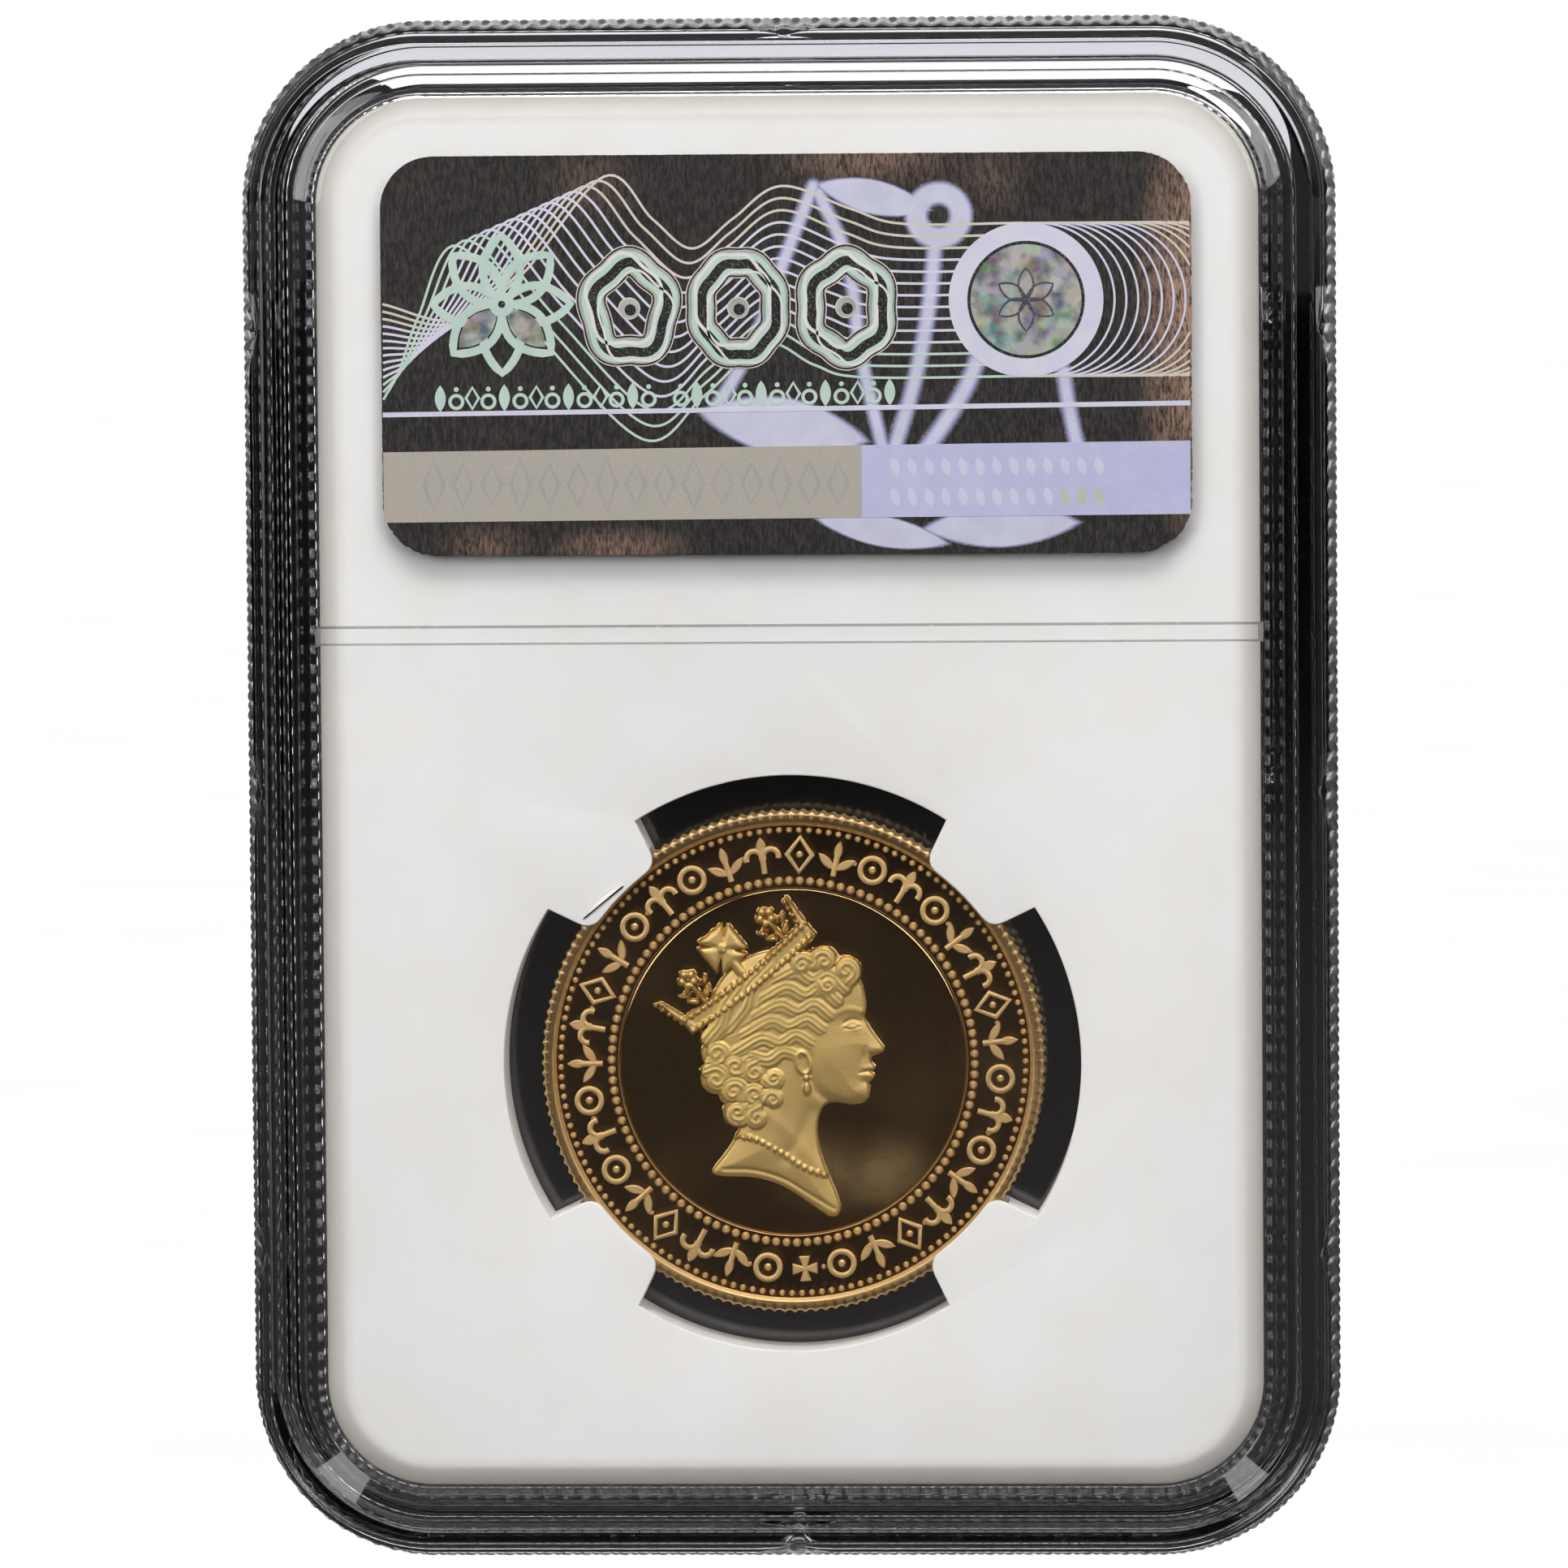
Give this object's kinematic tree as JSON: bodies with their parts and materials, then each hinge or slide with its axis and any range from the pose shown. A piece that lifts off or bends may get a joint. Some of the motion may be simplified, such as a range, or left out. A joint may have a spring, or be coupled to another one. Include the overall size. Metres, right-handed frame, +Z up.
{
  "type": "graded coin slab",
  "caption": "Flat clear plastic case, welded shut, with a soft white holder whose prongs grip a two-part coin, a card label inside and a foil label outside.",
  "frame": {"origin": "middle of the bottom edge, at the weld line between the two shells, with the slab standing upright", "axes": "+X across the slab to the right seen from the rear window, +Y out of the front (card label) window, +Z up the slab's height; the foil label's window faces -Y"},
  "size_m": [0.0616, 0.008, 0.0869],
  "materials": {
    "clear_shell": "polished clear polystyrene",
    "soft_holder": "soft matt white elastomer",
    "coin_ring_gold": "frosted relief on a mirror field, redder gold",
    "coin_centre_gold": "frosted relief on a mirror field, yellower gold",
    "label_card": "printed card",
    "label_foil": "metallised holographic film, printed"
  },
  "bodies": {
    "case": {"rear_shell": "clear_shell", "front_shell": "clear_shell", "coin_holder": "soft_holder", "front_label": "label_card", "rear_hologram_label": "label_foil"},
    "coin": {"coin_ring": "coin_ring_gold", "coin_centre": "coin_centre_gold"}
  },
  "joints": [
    {"name": "coin_turn", "type": "hinge", "parent": "case", "child": "coin", "pos_m": [0, 0, 0.0282], "axis": [0, -1, 0], "continuous": true}
  ]
}
